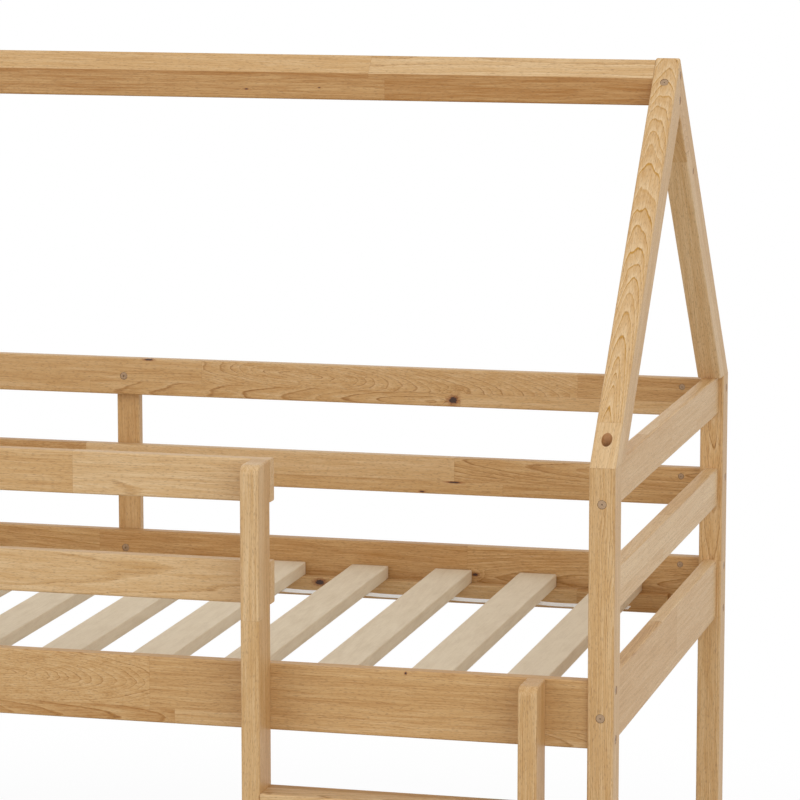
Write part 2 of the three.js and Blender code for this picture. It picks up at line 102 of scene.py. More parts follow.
# Seats of heads and nuts: their depth, how far the steel lies under the face, and the play round it
SEAT_DEPTH = 3.5
STEEL_SUNK = 0.4
HEAD_PLAY = 0.6
NUT_PLAY = 0.5
RAFTER_PLAY = 0.4

# Shares of the bolts' socket width that the apex bolts and the nuts have, and the share of a
# head's thickness that a socket is deep
APEX_SOCKET = 0.5
NUT_SOCKET = 0.6
SOCKET_DEPTH = 0.7

# More sizes in millimetres: the broken rim of a head, the head and the shank of the screws in the
# toes, a glue line, the rounding of the ridge's top and the length that is sawn off a rafter
HEAD_BREAK = 0.5
CAP_HEIGHT = 6
SHANK = 6
GLUE_LINE = 0.45
RIDGE_TOP_ROUND = 1.2
SAW_SPARE = 100

# Shares of the usual rounding that the ledgers and the sawn ends of the rafters have
LEDGER_ROUND = 0.7
RAFTER_END_ROUND = 0.6

# Straps: the steps to each slat and each gap, and how much of the solid's thickness they fill
STRAP_STEPS = 8
STRAP_FILL = 0.8

# Places nearer than this, in metres, are one, and cuts weld what is nearer than that
NEAR = 1e-6
WELD = 1e-7

# How the growth rings lie in a stave: the distance of the pith in millimetres and its bearing from
# the face in degrees, the stave's slant in the log in degrees, the width of a ring in millimetres,
# how strongly the rings show, and how golden and smooth they are
FIGURES = {
    "plain": ((90, 170), (62, 88), (0.1, 0.9), (2.0, 3.0), (0.15, 0.25), (0.1, 0.3)),
    "fine": ((80, 140), (30, 55), (0.2, 1.2), (2.2, 3.0), (0.4, 0.55), (0.1, 0.4)),
    "arched": ((26, 44), (2, 14), (2.5, 4.5), (3.4, 4.6), (0.8, 1.0), (0.1, 0.3)),
    "flame": ((30, 50), (4, 20), (8.0, 11.0), (2.8, 3.4), (0.6, 0.72), (0.1, 0.3)),
    "broad": ((60, 80), (5, 16), (1.6, 2.6), (5.0, 7.0), (0.5, 0.65), (0.3, 0.5)),
    "looped": ((46, 50), (86, 89), (4.0, 4.6), (2.3, 2.6), (1.3, 1.4), (0.85, 0.95)),
    "open": ((80, 140), (30, 55), (0.2, 1.2), (2.0, 2.8), (0.86, 1.02), (0.1, 0.4)),
}

# Staves laid at random: their figures, plain ones more often, their lengths, the shortest one at a
# board's end, and how a board is split into rows
USUAL_FIGURES = ("plain", "fine", "plain", "fine", "arched", "flame", "broad")
STAVE_LENGTHS = (300, 620)
SHORTEST_STAVE = 160
ROW_SHARES = (0.66, 0.34)
NARROW_BOARD = 50

# Staves seen in each board, from the top row down: row height, then each stave's start, tone and
# figure from the far end back. What is further on is laid at random. The end boards' top rows are
# 2 mm high, within the rounding, so that their upper faces take other tones than their sides.
LAYOUTS = {
    "ridge_beam": (
        (27, ((562, 0.3, "fine"), (-330, 0.05, "fine"))),
        (6, ((562, -0.6, "fine"), (-330, -0.7, "plain"))),
        (35, ((588, -0.7, "plain"), (-260, -0.45, "fine"))),
    ),
    "guard_rail_top_rear": (
        (40, ((795, -0.27, "open"), (140, 0.08, "flame"), (-420, 0.05, "plain"))),
        (23, ((594, 0.27, "plain"), (-61, -0.1, "arched"), (-560, 0.08, "plain"))),
    ),
    "guard_rail_middle_rear": (
        (40, ((584, -0.2, "arched"), (-70, 0.35, "plain"), (-600, -0.4, "flame"))),
        (23, ((668, -0.18, "fine"), (60, -0.05, "plain"), (-420, -0.2, "fine"))),
    ),
    "upper_side_rail_rear": (
        (76, ((607, -0.3, "arched"), (-47, -0.42, "plain"), (-600, -0.3, "broad"))),
        (23, ((500, -0.5, "plain"), (-200, -0.5, "fine"))),
    ),
    "guard_rail_top_front": (
        (40, ((235, 0.38, "fine"), (-330, 0.0, "fine"))),
        (23, ((235, 0.38, "broad"), (-300, 0.0, "plain"))),
    ),
    "guard_rail_middle_front": ((63, ((-420, 0.3, "broad"),)),),
    "upper_side_rail_front": (
        (76, ((350, -0.16, "fine"), (-350, -0.07, "flame"))),
        (23, ((930, 0.0, "arched"), (388, 0.0, "fine"), (-180, -0.5, "arched"))),
    ),
    "end_rail_top_right": (
        (2, ((170, 0.2, "fine"), (-160, 0.3, "plain"), (-460, -0.1, "fine"))),
        (36, ((30, 0.35, "fine"), (-460, 0.2, "plain"))),
        (25, ((250, 0.25, "plain"), (-460, 0.3, "plain"))),
    ),
    "end_rail_middle_right": (
        (2, ((390, 0.3, "plain"), (20, -0.05, "fine"), (-460, 0.3, "plain"))),
        (36, ((330, 0.7, "plain"), (-170, 0.6, "fine"), (-460, 0.65, "plain"))),
        (25, ((-40, 0.5, "fine"), (-460, 0.32, "plain"))),
    ),
    "end_rail_low_right": (
        (2, ((-40, 0.37, "plain"), (-340, -0.25, "fine"), (-460, 0.05, "plain"))),
        (72, ((90, 0.28, "plain"), (-460, 0.05, "plain"))),
        (25, ((-150, 0.2, "fine"), (-460, 0.1, "plain"))),
    ),
    "rafter_front_right": (
        (30, ((77, 0.2, "looped"), (0, 0.5, "plain"))),
        (28, ((300, 0.2, "plain"), (0, 0.1, "fine"))),
    ),
    "rafter_rear_right": (
        (30, ((420, 0.1, "fine"), (0, 0.2, "plain"))),
        (28, ((567, 0.05, "flame"), (0, 0.5, "fine"))),
    ),
    "post_front_right": ((38, ((900, 0.12, "open"), (0, 0.12, "open"))),),
    "post_rear_right": ((38, ((1290, 0.05, "arched"), (560, 0.1, "open"), (0, 0.05, "open"))),),
    "ladder_stile_left": (
        (30, ((1365, 0.4, "fine"), (800, 0.15, "fine"), (0, 0.0, "fine"))),
        (30, ((900, -0.05, "fine"), (0, 0.1, "plain"))),
    ),
    "ladder_stile_right": (
        (30, ((700, 0.05, "open"), (0, 0.1, "fine"))),
        (30, ((760, -0.1, "plain"), (0, 0.0, "fine"))),
    ),
    "rear_upright": ((40, ((1194, -0.05, "plain"),)),),
    # The rear ledger's stave at its right end is dark partly for its wood and partly as painted shade, the
    # warm shade in the corner behind the end boards
    "upper_ledger_rear": ((31, ((800, -0.5, "open"), (420, 0.1, "fine"), (-200, 0.1, "plain"))),),
}

# Knots and small shakes in the seen boards: place and half-sizes in millimetres
KNOTS = {
    "guard_rail_top_rear": (((582, 479, 1540), (9, 8, 7)), ((45, 480, 1590), (9, 6, 2))),
    "guard_rail_middle_rear": (((584, 480, 1399.6), (13, 5, 1.6)), ((528, 480, 1381.6), (5, 4, 1.4))),
    "upper_side_rail_rear": (((621, 480, 1243), (6, 5, 3)),),
    "upper_ledger_rear": (((354, 460, 1220.5), (10, 5, 5.5)),),
    "ridge_beam": (((367, -4, 2091), (3, 2, 1.2)), ((484, -4, 2095), (2.2, 2, 0.9))),
    "upper_side_rail_front": (((737, -462, 1287.5), (2, 2, 2)),),
}


def linear(hex_colour):
    """An sRGB hex value as the linear colour that sockets take."""
    parts = [int(hex_colour[i:i + 2], 16) / 255 for i in (1, 3, 5)]
    return tuple(p / 12.92 if p <= 0.04045 else ((p + 0.055) / 1.055) ** 2.4 for p in parts) + (1.0,)


def colour_property(name, description, hex_colour):
    """A colour that the user can change."""
    return bpy.props.FloatVectorProperty(
        name=name, description=description, subtype="COLOR", size=4, min=0, max=1,
        default=linear(hex_colour),
    )


def length_property(name, description, millimetres):
    """A length that the user can change."""
    return bpy.props.FloatProperty(
        name=name, description=description, unit="LENGTH", min=0, precision=5,
        default=millimetres * MM,
    )


def strength_property(name, description, strength):
    """The strength of a light, which the user can change."""
    return bpy.props.FloatProperty(name=name, description=description, default=strength, min=0)


class BunkBedSizes(bpy.types.PropertyGroup):
    """Sizes of the finish and the hardware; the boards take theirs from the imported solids."""

    edge_round: length_property("Edge round", "Rounding of the long edges of boards", 3.0)
    end_round: length_property("End round", "Breaking of the edges at a sawn end", 0.5)
    slat_round: length_property("Slat round", "Rounding of the slats' long edges", 2.0)
    stile_round: length_property("Stile round", "Rounding of the top front corner of a stile", 14.0)
    head_across: length_property("Bolt head", "Diameter of the sunk bolt heads", 12.6)
    nut_across: length_property("Barrel nut", "Diameter of the barrel nuts", 9.6)
    toe_bore: length_property("Toe bore", "Diameter of the open bore in a rafter's toe", 15.5)
    socket: length_property("Hex socket", "Width across the flats of the bolts' sockets", 3.2)
    strap_sag: length_property("Strap sag", "How far a strap hangs between two slats", 1.2)


class BunkBedColours(bpy.types.PropertyGroup):
    """Colours of the bed and of the studio."""

    oak_pale: colour_property("Oak, pale", "Palest staves", "#dfc196")
    oak_mid: colour_property("Oak, middle", "Most staves", "#c9a06a")
    oak_dark: colour_property("Oak, dark", "Darkest staves", "#a46f30")
    ring: colour_property("Rings", "Late wood of the growth rings", "#8e5a26")
    ring_golden: colour_property("Rings, golden", "Late wood of the most golden staves", "#bd8a2c")
    pore: colour_property("Pores", "Open pores, darkened by the oil", "#6e4520")
    # The bore colour is partly the end grain soaked with oil and partly painted shade, the darkness inside a
    # bore
    bore: colour_property("Bores", "End grain in a bore, soaked with oil", "#a56c38")
    knot: colour_property("Knots", "Hearts of the knots", "#33201a")
    knot_rim: colour_property("Knot rims", "Wood stained round a knot", "#8d4f22")
    slat: colour_property("Slats", "Planed slats without oil", "#e5d5ba")
    slat_grain: colour_property("Slat grain", "Grain and clouding of the slats", "#c2ab8a")
    webbing: colour_property("Webbing", "Straps under the slats", "#fbfbfa")
    # The steel's warm brown is a painted reflection of the oak round the heads and nuts
    steel: colour_property("Steel", "Bolt heads and nuts", "#a98e72")
    floor: colour_property("Floor", "Studio floor as it is seen", "#f2f2f2")
    floor_return: colour_property("Floor's return", "Studio floor as it lights the bed", "#b4b0a8")


class BunkBedStudio(bpy.types.PropertyGroup):
    """Light and camera of the studio."""

    key: strength_property("Key", "Strength of the main lamp", 300.0)
    fill: strength_property("Fill", "Strength of the side lamp", 290.0)
    top: strength_property("Top", "Strength of the lamp overhead", 20.0)
    ambient: strength_property("Ambient", "Light from all round", 0.74)
    focal: bpy.props.FloatProperty(
        name="Focal length", description="Focal length in mm on a 36 mm sensor", default=168.068, min=1,
    )
    camera_place: bpy.props.FloatVectorProperty(
        name="Camera", description="Place of the camera", subtype="TRANSLATION", unit="LENGTH",
        default=(2.02132, -5.55738, 2.48826),
    )
    camera_turn: bpy.props.FloatVectorProperty(
        name="Turn", description="Pitch, roll and yaw of the camera", subtype="EULER", unit="ROTATION",
        default=(math.pi / 2 - 0.15162, 0.0, 0.24846),
    )


# Shapes


def block(lo, hi):
    """A box between two corners."""
    bm = bmesh.new()
    centre, size = (lo + hi) / 2, hi - lo
    bmesh.ops.create_cube(bm, size=1, matrix=Matrix.Translation(centre) @ Matrix.Diagonal((*size, 1)))
    return bm


def rounded(bm, edges, radius, segments):
    """The given edges rounded."""
    if edges:
        bmesh.ops.bevel(
            bm, geom=edges, offset=radius, offset_type="OFFSET", segments=segments, profile=0.5,
            affect="EDGES", clamp_overlap=True, material=-1,
        )


def edges_along(bm, axis):
    """The straight edges that run along an axis."""
    found = []
    for edge in bm.edges:
        run = edge.verts[1].co - edge.verts[0].co
        if run.length > 0 and abs(run[axis]) > 0.999 * run.length:
            found.append(edge)
    return found


def edges_where(edges, test):
    """The edges whose two ends both pass a test of their place."""
    return [edge for edge in edges if all(test(vert.co) for vert in edge.verts)]


def edges_at(bm, axis, place):
    """The edges that lie in the plane at a place on an axis."""
    return edges_where(bm.edges, lambda co: abs(co[axis] - place) < NEAR)


def planed_board(lo, hi, axis, edge_round, end_round):
    """A planed board: long edges rounded, sawn ends only broken."""
    bm = block(lo, hi)
    rounded(bm, edges_along(bm, axis), edge_round, 4)
    for place in (lo[axis], hi[axis]):
        rounded(bm, edges_at(bm, axis, place), end_round, 2)
    return bm


def sawn(bm, geometry, point, normal, off=False):
    """The mesh cut through at a plane; with off, what lies past it falls away."""
    return bmesh.ops.bisect_plane(
        bm, geom=geometry, dist=WELD, plane_co=point, plane_no=normal, clear_outer=off,
    )["geom_cut"]


def cut_away(bm, point, normal):
    """What lies on the side that the normal points to is sawn off, and the cut closed."""
    cut = sawn(bm, bm.verts[:] + bm.edges[:] + bm.faces[:], point, normal, off=True)
    bmesh.ops.holes_fill(bm, edges=[e for e in cut if isinstance(e, bmesh.types.BMEdge)], sides=0)


def upright_to(axis):
    """The turn that takes what stands upright to a direction."""
    return axis.to_track_quat("Z", "X").to_matrix().to_4x4()


def rod(bm, top, axis, across, length, segments):
    """A round bar that ends at a place and runs back from it."""
    middle = Matrix.Translation(top - axis * length / 2)
    return bmesh.ops.create_cone(
        bm, cap_ends=True, segments=segments, radius1=across / 2, radius2=across / 2, depth=length,
        matrix=middle @ upright_to(axis),
    )["verts"]


def drilled(bm, holes, lead=4 * MM):
    """The shape with round holes cut in it, their walls marked; the cutters start outside by a lead."""
    if not holes:
        return bm
    holes = [(Vector(place), Vector(way).normalized(), across, depth) for place, way, across, depth in holes]
    cutter = bmesh.new()
    for place, axis, across, depth in holes:
        rod(cutter, place + axis * lead, axis, across, depth + lead, 40)
    parts = []
    for source in (bm, cutter):
        mesh = bpy.data.meshes.new("bore")
        source.to_mesh(mesh)
        source.free()
        piece = bpy.data.objects.new("bore", mesh)
        bpy.context.scene.collection.objects.link(piece)
        parts.append(piece)
    cut = parts[0].modifiers.new("holes", "BOOLEAN")
    cut.operation, cut.solver, cut.object = "DIFFERENCE", "EXACT", parts[1]
    graph = bpy.context.evaluated_depsgraph_get()
    bored = bpy.data.meshes.new_from_object(parts[0].evaluated_get(graph))
    result = bmesh.new()
    result.from_mesh(bored)
    meshes = [bored] + [piece.data for piece in parts]
    for piece in parts:
        bpy.data.objects.remove(piece)
    for mesh in meshes:
        bpy.data.meshes.remove(mesh)
    walls = result.faces.layers.int.new("bore_wall")
    for wall in result.faces:
        centre = wall.calc_center_median()
        for place, axis, across, _ in holes:
            away = centre - place
            off = (away - axis * away.dot(axis)).length
            if off < across / 2 + 10 * NEAR and abs(wall.normal.dot(axis)) < 0.5:
                wall[walls] = 1
    return result


# Staves


def board_axes(length, width, origin):
    """The matrix from the model's axes to a board's own: length, width and thickness."""
    u, v = Vector(length).normalized(), Vector(width).normalized()
    turn = Matrix((u, v, u.cross(v))).to_4x4()
    return turn @ Matrix.Translation(-Vector(origin))


def straight_axes(lo, hi, long, wide):
    """The axes of a board along the model's own. Its width counts down from the top, or else up."""
    length, width, origin = Vector(), Vector(), (lo + hi) / 2
    length[long] = 1
    width[wide] = -1 if wide == Z else 1
    origin[long] = 0
    origin[wide] = hi[wide] if wide == Z else lo[wide]
    return board_axes(length, width, origin)


def stave_rows(node, start, end, width):
    """The rows of glued staves in a board: each row's borders and its staves."""
    rng = random.Random(node)
    listed = LAYOUTS.get(node)
    if listed is None:
        shares = ROW_SHARES if width > NARROW_BOARD else (1.0,)
        listed = [(width * share, ()) for share in shares]
    rows, top = [], 0.0
    for height, seen in listed:
        staves, right = [], end
        for left, tone, figure in seen:
            left = max(left, start)
            if right - left > 1:
                staves.append((left, right, tone, figure))
            right = left
        while right > start + 1:
            left = right - rng.uniform(*STAVE_LENGTHS)
            if left < start + SHORTEST_STAVE:
                left = start
            tone = rng.uniform(-0.35, 0.35)
            staves.append((left, right, tone, rng.choice(USUAL_FIGURES)))
            right = left
        rows.append((top, top + height, staves))
        top += height
    return rows


def log_place(stave, row, rng):
    """Where a stave lay in its log, as a function from board millimetres to log metres."""
    left, right, _, figure = stave
    pith, bearing, slant, ring, strength, gold = (rng.uniform(*span) for span in FIGURES[figure])
    side_on, upward = (rng.choice((-1, 1)) for _ in range(2))
    if figure == "looped":
        side_on = upward = 1
    bearing = math.radians(bearing) * side_on
    rise = math.tan(math.radians(slant)) * upward
    drift = math.tan(math.radians(rng.uniform(-1.2, 1.2)))
    start = rng.uniform(2000, 40000)
    across = rng.uniform(-6, 6)
    middle_u, middle_v = (left + right) / 2, (row[0] + row[1]) / 2

    def place(u, v, w):
        du, dv = u - middle_u, v - middle_v
        radial = w * math.cos(bearing) + dv * math.sin(bearing) + pith + du * rise
        side = dv * math.cos(bearing) - w * math.sin(bearing) + across + du * drift
        return Vector((start + du, side, radial)) * MM

    return place, ring, strength, gold


def outside(value, low, high):
    """How far a value lies outside two borders."""
    return max(low - value, value - high, 0)


def lay_staves(bm, axes, rows, node, slack=0.01, far=1000.0):
    """Cuts the mesh at the glue lines and gives each stave its place in a log and its tone. A
    stave's side at the edge of the board is put far off, because no glue line runs there."""
    back = axes.inverted()
    turn = back.to_3x3()
    along, across = turn @ Vector((1, 0, 0)), turn @ Vector((0, 1, 0))
    for row in rows[1:]:
        sawn(bm, bm.verts[:] + bm.edges[:] + bm.faces[:], back @ Vector((0, row[0] * MM, 0)), across)
    for top, bottom, staves in rows:
        for left, _, _, _ in staves[:-1]:
            geometry = set()
            for side in bm.faces:
                if top - slack < (axes @ side.calc_center_median()).y / MM < bottom + slack:
                    geometry.update((side, *side.edges, *side.verts))
            sawn(bm, list(geometry), back @ Vector((left * MM, 0, 0)), along)
    names = ("log", "stave", "from_start", "from_end")
    log, look, from_start, from_end = [bm.loops.layers.float_vector.new(name) for name in names]
    golden, bored = [bm.loops.layers.float.new(name) for name in ("golden", "bored")]
    walls = bm.faces.layers.int.get("bore_wall")
    rng = random.Random(node + " staves")
    pieces = []
    for number, row in enumerate(rows):
        last = len(row[2]) - 1
        for order, stave in enumerate(row[2]):
            place, ring, strength, gold = log_place(stave, row, rng)
            sides = (order == last, order == 0, number == 0, number == len(rows) - 1)
            away = [far * outer for outer in sides]
            pieces.append((row, stave, place, (stave[2], ring, strength), away, gold))
    for side in bm.faces:
        centre = (axes @ side.calc_center_median()) / MM
        row, stave, place, looks, away, gold = min(
            pieces,
            key=lambda p: outside(centre.y, *p[0][:2]) * 10 + outside(centre.x, *p[1][:2]),
        )
        for loop in side.loops:
            u, v, w = (axes @ loop.vert.co) / MM
            loop[log] = place(u, v, w)
            loop[look] = Vector(looks)
            loop[from_start] = Vector((u - stave[0] + away[0], v - row[0] + away[2], 0)) * MM
            loop[from_end] = Vector((stave[1] - u + away[1], row[1] - v + away[3], 0)) * MM
            loop[golden], loop[bored] = gold, float(walls is not None and side[walls])


def finished(bm, name, material, replaced=()):
    """A mesh as a piece of the bed: sharp where it turns sharply, smooth elsewhere."""
    bmesh.ops.recalc_face_normals(bm, faces=bm.faces)
    mesh = bpy.data.meshes.new(name)
    for side in bm.faces:
        side.smooth = True
    bm.to_mesh(mesh)
    bm.free()
    mesh.set_sharp_from_angle(angle=math.radians(38))
    mesh.materials.append(material)
    piece = bpy.data.objects.new(name, mesh)
    bpy.context.scene.collection.objects.link(piece)
    normals = piece.modifiers.new("normals", "WEIGHTED_NORMAL")
    normals.keep_sharp = True
    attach(piece, BODY)
    if replaced:
        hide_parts(*replaced)


def oak_piece(bm, node, axes, span, width, holes=()):
    """An oak piece that stands for a node, made of staves."""
    bm = drilled(bm, holes)
    lay_staves(bm, axes, stave_rows(node, span[0], span[1], width), node)
    knots = KNOTS.get(node, ())
    material = material_of("oak_oiled_" + node if knots else "oak_oiled", oiled_oak, knots)
    finished(bm, "oak_" + node, material, (node,))


def straight_oak(bm, node, lo, hi, long, wide, holes=()):
    """An oak piece that lies along one axis, with its rows of staves side by side on another."""
    span, width = (lo[long] / MM, hi[long] / MM), (hi[wide] - lo[wide]) / MM
    oak_piece(bm, node, straight_axes(lo, hi, long, wide), span, width, holes)


def planed_oak(node, lo, hi, long, wide, sizes, holes=(), round_share=1.0):
    """A planed oak board that stands for a node."""
    bm = planed_board(lo, hi, long, sizes.edge_round * round_share, sizes.end_round)
    straight_oak(bm, node, lo, hi, long, wide, holes)


# Materials


def add(tree, kind, sockets=(), **settings):
    """Adds a node with its settings, values and links; a node given as a value is linked by the
    first of its outputs that is in use."""
    node = tree.nodes.new("ShaderNode" + kind)
    for name, value in settings.items():
        setattr(node, name, value)
    for name, value in sockets.items() if isinstance(sockets, dict) else enumerate(sockets):
        if isinstance(value, bpy.types.Node):
            value = next(output for output in value.outputs if output.enabled)
        if isinstance(value, bpy.types.NodeSocket):
            tree.links.new(value, node.inputs[name])
        else:
            node.inputs[name].default_value = value
    return node


def material_of(name, fill, *details):
    """A material by its name, made when it is first asked for."""
    if name not in bpy.data.materials:
        material = bpy.data.materials.new(name)
        material.use_nodes = True
        material.node_tree.nodes.clear()
        fill(material.node_tree, bpy.context.scene.bunk_bed_colours, *details)
    return bpy.data.materials[name]


def in_the_log(tree):
    """Where a point lay in its log in millimetres, and its stave's tone, rings and their strength."""
    log = add(tree, "Attribute", attribute_name="log").outputs["Vector"]
    place = add(tree, "VectorMath", {0: log, "Scale": 1 / MM}, operation="SCALE")
    stave = add(tree, "Attribute", attribute_name="stave").outputs["Vector"]
    return (place, *add(tree, "SeparateXYZ", (stave,)).outputs)


def grain_marks(tree, place, along, across, **noise):
    """Noise whose marks are so many millimetres long with the grain, and so many wide."""
    scale = (1 / along, 1 / across, 1 / across)
    scaled = add(tree, "VectorMath", (place, scale), operation="MULTIPLY")
    return add(tree, "TexNoise", {"Vector": scaled, "Scale": 1, **noise})


def sway(tree, noise, reach):
    """A shift that a noise drives so far either way."""
    spread = (noise.outputs["Color"], (2 * reach,) * 3, (-reach,) * 3)
    return add(tree, "VectorMath", spread, operation="MULTIPLY_ADD")


def pith_distance(tree, place):
    """How far a place in the log is from the pith."""
    flat = add(tree, "VectorMath", (place, (0, 1, 1)), operation="MULTIPLY")
    return add(tree, "VectorMath", (flat,), operation="LENGTH")


def bumpy_surface(tree, height, strength, depth, sockets):
    """The shader of a material whose surface is bumpy, to a depth in millimetres."""
    bump = add(tree, "Bump", {"Height": height, "Strength": strength, "Distance": depth * MM})
    shader = add(tree, "BsdfPrincipled", {**sockets, "Normal": bump})
    add(tree, "OutputMaterial", (shader,))


def oiled_oak(tree, colours, knots):
    """Oak, planed, glued up from staves and oiled: warm and satin, with the rings, pores and fine
    streaks of each stave where its place in the log puts them."""
    node = partial(add, tree)
    smoothly = {"interpolation_type": "SMOOTHSTEP"}
    place, tone, ring, strength = in_the_log(tree)

    # The log isn't straight: slow bends 260 mm long, small ones 45 mm long and kinks 14 mm long,
    # which are weaker in the golden staves, because their rings run smooth
    bent = place
    for along, across, reach in ((260, 50, 6), (45, 12, 0.7)):
        bend = sway(tree, grain_marks(tree, place, along, across, Detail=2), reach)
        bent = node("VectorMath", (bent, bend))
    golden = node("Attribute", attribute_name="golden").outputs["Fac"]
    kinky = node("Math", (golden, -0.8, 1.0), operation="MULTIPLY_ADD")
    kink = sway(tree, grain_marks(tree, place, 14, 3, Detail=1), 0.35)
    kink = node("VectorMath", {0: kink, "Scale": kinky}, operation="SCALE")
    radius = pith_distance(tree, node("VectorMath", (bent, kink)))

    # Object coordinates place the knots, which are rough in outline, and the rings swell round them
    here = node("TexCoord").outputs["Object"]
    knotty = None
    for spot, half in knots:
        away = node("VectorMath", (here, tuple(s * MM for s in spot)), operation="SUBTRACT")
        away = node("VectorMath", (away, tuple(1 / (h * MM) for h in half)), operation="MULTIPLY")
        rough = node("TexNoise", {"Vector": away, "Scale": 1.8, "Detail": 3, "Roughness": 0.6})
        away = node("VectorMath", (away, sway(tree, rough, 0.8)))
        gap = node("VectorMath", (away,), operation="LENGTH")
        knotty = node("Math", (knotty, gap), operation="MINIMUM") if knotty else gap
    if knots:
        radius = node("Math", (radius, node("MapRange", (knotty, 0.5, 4.0, 7.0, 0.0), **smoothly)))

    # Rings: wide and narrow years, each with a dark late-wood line that is sharp on one side
    spell = node("Math", (radius, 1 / 13), operation="MULTIPLY")
    years = node("TexNoise", {"W": spell, "Scale": 1, "Detail": 1}, noise_dimensions="1D")
    radius = node("Math", (years, 6.0, radius), operation="MULTIPLY_ADD")
    count = node("Math", (radius, ring), operation="DIVIDE")
    part = node("Math", (count,), operation="FRACT")
    year = node("Math", (count,), operation="FLOOR")
    vary = node("TexWhiteNoise", {"W": year}, noise_dimensions="1D")
    line = node("MapRange", (part, 0.78, 0.94), **smoothly)
    fall = node("MapRange", (part, 0.94, 1.0, 1.0, 0.0))
    vary = node("MapRange", (vary, 0.0, 1.0, 0.25, 1.0))
    for factor in (fall, vary, strength):
        line = node("Math", (line, factor), operation="MULTIPLY")
    early = node("MapRange", (part, 0.0, 0.5, 0.2, 0.0))
    early = node("Math", (early, strength), operation="MULTIPLY")

    # Streaks 6 mm wide, and fibres and pores that are drawn 1.6 and 1.1 mm wide so that they show
    streak = grain_marks(tree, bent, 240, 6, Detail=2)
    fibre = grain_marks(tree, bent, 60, 1.6, Detail=3, Roughness=0.65)
    pore = grain_marks(tree, place, 7, 1.1, Detail=1)
    pore = node("MapRange", (pore, 0.54, 0.68), **smoothly)
    open_wood = node("Math", (line, 0.7, 0.5), operation="MULTIPLY_ADD")
    pore = node("Math", (pore, open_wood), operation="MULTIPLY")

    # Each stave's tone, its streaks and its fibres choose between dark, middle and pale oak
    level = -0.25
    for source, weight in ((tone, 0.5), (streak, 0.6), (fibre, 0.9), (early, 1.0)):
        level = node("Math", (source, weight, level), operation="MULTIPLY_ADD")
    wood = node("ValToRGB", (level,))
    wood.color_ramp.elements[0].color = colours.oak_dark
    wood.color_ramp.elements[1].color = colours.oak_pale
    wood.color_ramp.elements.new(0.5).color = colours.oak_mid

    # Glue lines lie where a stave's nearest border is
    edge = 1.0
    for name in ("from_start", "from_end"):
        borders = node("SeparateXYZ", (node("Attribute", attribute_name=name).outputs["Vector"],))
        for border in borders.outputs[:2]:
            edge = node("Math", (edge, border), operation="MINIMUM")
    glue = node("MapRange", (edge, 0.0, GLUE_LINE * MM, 1.0, 0.0))

    # What darkens the wood, how strongly, and to which colour
    late = node("Mix", {"Factor": golden, 6: colours.ring, 7: colours.ring_golden}, data_type="RGBA")
    stains = [(line, 0.95, late), (pore, 0.58, colours.pore), (glue, 0.35, colours.ring)]
    if knots:
        halo = node("MapRange", (knotty, 0.8, 1.7, 1.0, 0.0), **smoothly)
        heart = node("MapRange", (knotty, 0.6, 0.95, 1.0, 0.0), **smoothly)
        stains += [(halo, 0.8, colours.knot_rim), (heart, 0.95, colours.knot)]
    # Bore walls take the bore colour: partly oiled end grain, partly painted shade inside the bore
    bored = node("Attribute", attribute_name="bored").outputs["Fac"]
    for share, most, colour in (*stains, (bored, 0.8, colours.bore)):
        share = node("Math", (share, most), operation="MULTIPLY")
        wood = node("Mix", {"Factor": share, 6: wood, 7: colour}, data_type="RGBA")

    # Satin oil: the fibres vary its gloss, and the pores stay a little open
    gloss = node("Math", (fibre, 0.14, 0.42), operation="MULTIPLY_ADD")
    height = node("Math", (pore, -0.7, fibre), operation="MULTIPLY_ADD")
    bumpy_surface(tree, height, 0.35, 0.2, {"Base Color": wood, "Roughness": gloss, "IOR": 1.48})


def planed_slat(tree, colours):
    """Softwood slats, planed and left without oil: pale and matt, clouded, with hardly any rings."""
    node = partial(add, tree)
    place, tone, ring, _ = in_the_log(tree)
    slow = grain_marks(tree, place, 300, 40, Detail=2)
    bent = node("VectorMath", (slow.outputs["Color"], (10,) * 3, place), operation="MULTIPLY_ADD")
    count = node("Math", (pith_distance(tree, bent), ring), operation="DIVIDE")
    part = node("Math", (count,), operation="FRACT")
    line = node("MapRange", (part, 0.4, 1.0, 0.0, 0.07), interpolation_type="SMOOTHSTEP")
    fibre = grain_marks(tree, bent, 60, 2.0, Detail=3, Roughness=0.6)
    cloud = grain_marks(tree, place, 70, 16, Detail=3, Roughness=0.6)
    fleck = grain_marks(tree, place, 6, 3, Detail=2)
    share = -0.67
    for source, weight in ((line, 1.0), (fibre, 0.5), (cloud, 0.8), (fleck, 0.3), (tone, -0.15)):
        share = node("Math", (source, weight, share), operation="MULTIPLY_ADD")
    wood = node("Mix", {"Factor": share, 6: colours.slat, 7: colours.slat_grain}, data_type="RGBA")
    bumpy_surface(tree, fibre, 0.3, 0.15, {"Base Color": wood, "Roughness": 0.68, "IOR": 1.45})


def webbing(tree, colours):
    """White polyester webbing, plain woven: matt, with ribs across it 1.4 mm apart."""
    node = partial(add, tree)
    here = node("TexCoord").outputs["Object"]
    weave = 1.0
    for axis, pitch in (("X", 1.4), ("Y", 1.1)):
        # At scale 1 a wave comes back every pi / 10
        scale = math.pi / 10 / (pitch * MM)
        wave = node("TexWave", {"Vector": here, "Scale": scale}, wave_type="BANDS", bands_direction=axis)
        weave = node("Math", (wave.outputs["Fac"], weave), operation="MULTIPLY")
    shade = node("MapRange", (weave, 0.0, 1.0, 0.9, 1.0))
    cloth = node("VectorMath", {0: tuple(colours.webbing)[:3], "Scale": shade}, operation="SCALE")
    bumpy_surface(tree, weave, 0.5, 0.2, {"Base Color": cloth, "Roughness": 0.85})


